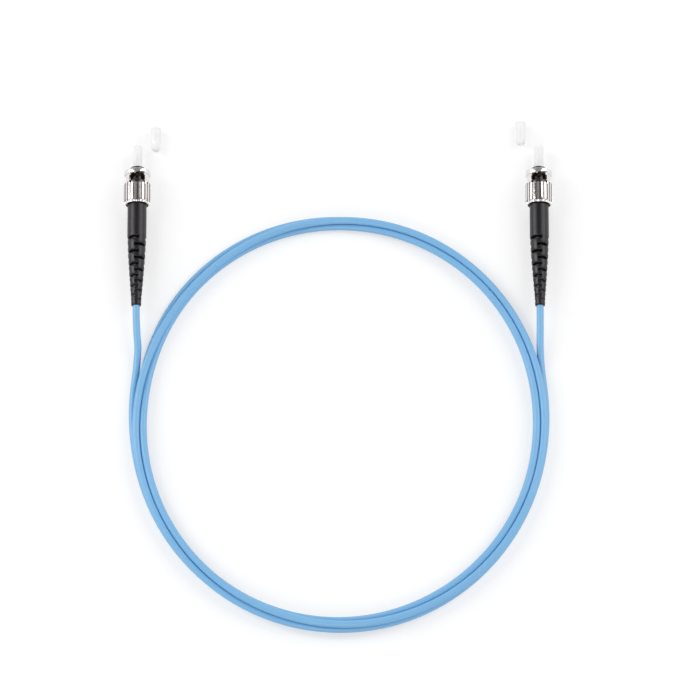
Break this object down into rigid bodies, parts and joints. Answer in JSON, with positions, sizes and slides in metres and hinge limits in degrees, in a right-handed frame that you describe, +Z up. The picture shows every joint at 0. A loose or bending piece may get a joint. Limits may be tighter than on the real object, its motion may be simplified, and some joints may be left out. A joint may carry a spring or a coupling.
{
  "type": "st fibre connector patch cord",
  "caption": "Simplex fibre patch cord wound in a round coil, with a bayonet plug at each end, slotted black boots, fluted metal coupling nuts, push-on dust caps and spare caps beside them",
  "frame": {"origin": "on the ground under the middle of the two plugs and their caps, measured without the cord", "axes": "+X across the two plugs from a to b, +Y forward out of the plugs along both ferrules, +Z up"},
  "size_m": [0.1436, 0.1805, 0.009],
  "materials": {
    "zirconia": "polished zirconia ceramic",
    "buffered_fibre": "smooth buffer coating, bare glass inside the ferrule",
    "barrel_nickel": "turned, nickel plated",
    "nut_nickel": "bright nickel plate",
    "spring_steel": "drawn spring wire and strip",
    "washer_brass": "plain brass",
    "crimp_nickel": "nickel plated, crimped",
    "yarn": "laid aramid yarn",
    "boot_black": "satin black moulding",
    "cap_plastic": "translucent natural plastic",
    "jacket": "satin light blue jacket"
  },
  "bodies": {
    "cord_set": {"ferrule_a": "zirconia", "fibre_a": "buffered_fibre", "barrel_a": "barrel_nickel", "coupling_spring_a": "spring_steel", "retaining_clip_a": "spring_steel", "crimp_sleeve_a": "crimp_nickel", "aramid_yarn_a": "yarn", "jacket_end_a": "jacket", "boot_a": "boot_black", "loose_cap_a": "cap_plastic", "ferrule_b": "zirconia", "fibre_b": "buffered_fibre", "barrel_b": "barrel_nickel", "coupling_spring_b": "spring_steel", "retaining_clip_b": "spring_steel", "crimp_sleeve_b": "crimp_nickel", "aramid_yarn_b": "yarn", "jacket_end_b": "jacket", "boot_b": "boot_black", "loose_cap_b": "cap_plastic", "lead_a": "jacket", "lead_b": "jacket", "coil": "jacket"},
    "washer_a": {"slip_washer_a": "washer_brass"},
    "nut_a": {"coupling_nut_a": "nut_nickel"},
    "cap_a": {"dust_cap_a": "cap_plastic"},
    "washer_b": {"slip_washer_b": "washer_brass"},
    "nut_b": {"coupling_nut_b": "nut_nickel"},
    "cap_b": {"dust_cap_b": "cap_plastic"}
  },
  "joints": [
    {"name": "nut_slide_a", "type": "slide", "parent": "cord_set", "child": "washer_a", "axis": [0, 1, 0], "range_m": [0, 0.0016], "stiffness_N_per_m": 300, "springref_m": -0.005, "deforming": ["coupling_spring_a"]},
    {"name": "nut_turn_a", "type": "hinge", "parent": "washer_a", "child": "nut_a", "pos_m": [-0.0673, 0.00855, 0.0045], "axis": [0, 1, 0], "continuous": true},
    {"name": "cap_pull_a", "type": "slide", "parent": "cord_set", "child": "cap_a", "axis": [0, 1, 0], "range_m": [0, 0.012]},
    {"name": "nut_slide_b", "type": "slide", "parent": "cord_set", "child": "washer_b", "axis": [0, 1, 0], "range_m": [0, 0.0016], "stiffness_N_per_m": 300, "springref_m": -0.005, "deforming": ["coupling_spring_b"]},
    {"name": "nut_turn_b", "type": "hinge", "parent": "washer_b", "child": "nut_b", "pos_m": [0.0673, 0.00855, 0.0045], "axis": [0, 1, 0], "continuous": true},
    {"name": "cap_pull_b", "type": "slide", "parent": "cord_set", "child": "cap_b", "axis": [0, 1, 0], "range_m": [0, 0.012]}
  ]
}
